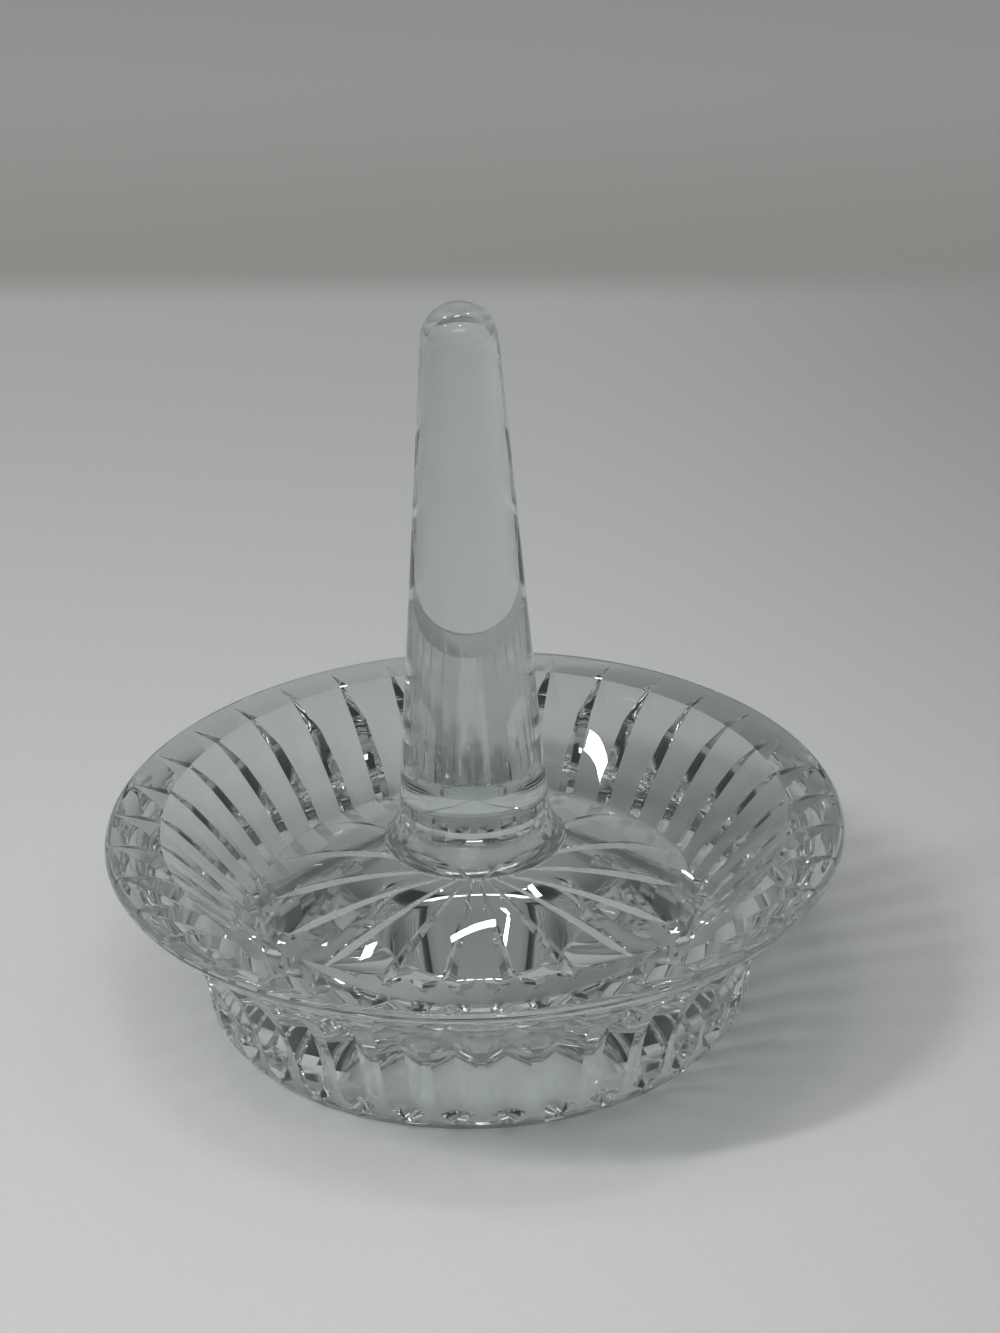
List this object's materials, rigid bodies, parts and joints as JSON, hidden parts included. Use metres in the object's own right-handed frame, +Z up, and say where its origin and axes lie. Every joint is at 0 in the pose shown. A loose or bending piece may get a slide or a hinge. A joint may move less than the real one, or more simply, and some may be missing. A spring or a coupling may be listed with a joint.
{
  "type": "ring dish",
  "caption": "Round cut-glass ring dish: a thick bowl with a flared lip and a floor that rises to its middle, mitre cuts round its wall, a star cut under its floor and a tapered post for finger rings.",
  "frame": {"origin": "on the table, under the middle of the dish", "axes": "+Z up, along the post and the dish's turning axis; +X through one of the mitre cuts"},
  "size_m": [0.09, 0.09, 0.0896],
  "materials": {
    "crystal": "polished, clear with a faint blue-grey tint",
    "bond": "clear cured film"
  },
  "bodies": {
    "root": {"dish": "crystal", "ring_post": "crystal", "bond_film": "bond"}
  },
  "joints": []
}
